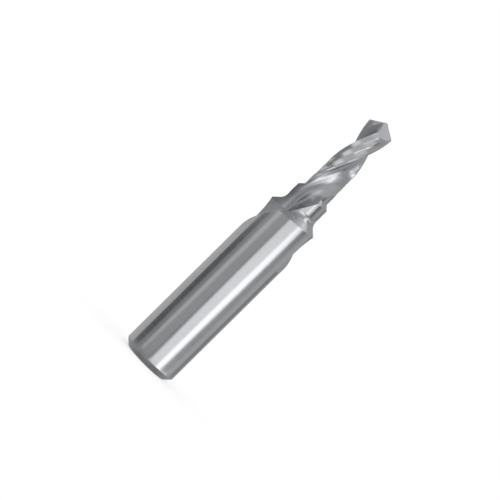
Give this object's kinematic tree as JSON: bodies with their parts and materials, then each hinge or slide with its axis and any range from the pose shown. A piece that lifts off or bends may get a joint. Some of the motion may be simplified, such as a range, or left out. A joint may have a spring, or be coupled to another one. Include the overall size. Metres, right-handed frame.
{
  "type": "stepped center drill",
  "caption": "Solid stepped center drill: helical-fluted pilot with a point, a middle step, a sloping shoulder and a plain cylindrical shank with a chamfered end.",
  "frame": {"origin": "centre of the flat end of the shank, on the tool axis", "axes": "+Z runs along the tool axis from the shank end to the point, and X and Y lie in the shank end face"},
  "size_m": [0.02, 0.02, 0.1096],
  "materials": {
    "ground_tool_steel": "bright ground and uncoated, with polished flutes"
  },
  "bodies": {
    "root": {"center_drill": "ground_tool_steel"}
  },
  "joints": []
}
